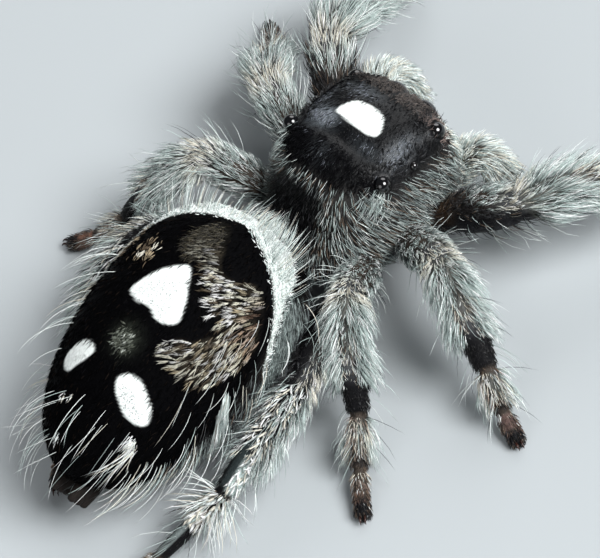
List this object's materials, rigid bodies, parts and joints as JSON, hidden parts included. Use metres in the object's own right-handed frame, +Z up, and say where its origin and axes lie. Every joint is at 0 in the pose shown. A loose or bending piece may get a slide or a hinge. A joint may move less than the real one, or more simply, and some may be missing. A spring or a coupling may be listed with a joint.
{
  "type": "jumping spider",
  "caption": "Life-size adult jumping spider standing on its feet, with a black and white marked abdomen and grey furred legs.",
  "frame": {"origin": "middle of the spider's footprint, on the floor it stands on", "axes": "+Z up, +Y the way the head faces, +X to the spider's own right"},
  "size_m": [0.0182, 0.0238, 0.0064],
  "materials": {
    "shell": "glossy black shell with grey scales on its slopes",
    "abdomen_coat": "black velvet scales with white and gold-grey marks",
    "leg_coat": "white and grey hair over dark brown rings",
    "palp_coat": "cream white hair",
    "eye": "polished black",
    "jaw": "metallic blue-green",
    "claw": "smooth dark brown"
  },
  "bodies": {
    "root": {"abdomen": "abdomen_coat", "cephalothorax": "shell", "chelicera_left": "jaw", "chelicera_right": "jaw", "eye_anterior_lateral_left": "eye", "eye_anterior_lateral_right": "eye", "eye_anterior_median_left": "eye", "eye_anterior_median_right": "eye", "eye_posterior_lateral_left": "eye", "eye_posterior_lateral_right": "eye", "eye_posterior_median_left": "eye", "eye_posterior_median_right": "eye", "fang_left": "claw", "fang_right": "claw", "leg_1_left_femur": "leg_coat", "leg_1_left_foot": "leg_coat", "leg_1_left_tibia": "leg_coat", "leg_1_right_femur": "leg_coat", "leg_1_right_foot": "leg_coat", "leg_1_right_tibia": "leg_coat", "leg_2_left_femur": "leg_coat", "leg_2_left_foot": "leg_coat", "leg_2_left_tibia": "leg_coat", "leg_2_right_femur": "leg_coat", "leg_2_right_foot": "leg_coat", "leg_2_right_tibia": "leg_coat", "leg_3_left_femur": "leg_coat", "leg_3_left_foot": "leg_coat", "leg_3_left_tibia": "leg_coat", "leg_3_right_femur": "leg_coat", "leg_3_right_foot": "leg_coat", "leg_3_right_tibia": "leg_coat", "leg_4_left_femur": "leg_coat", "leg_4_left_foot": "leg_coat", "leg_4_left_tibia": "leg_coat", "leg_4_right_femur": "leg_coat", "leg_4_right_foot": "leg_coat", "leg_4_right_tibia": "leg_coat", "palp_left": "palp_coat", "palp_right": "palp_coat", "pedicel": "shell", "spinnerets": "abdomen_coat"}
  },
  "joints": []
}
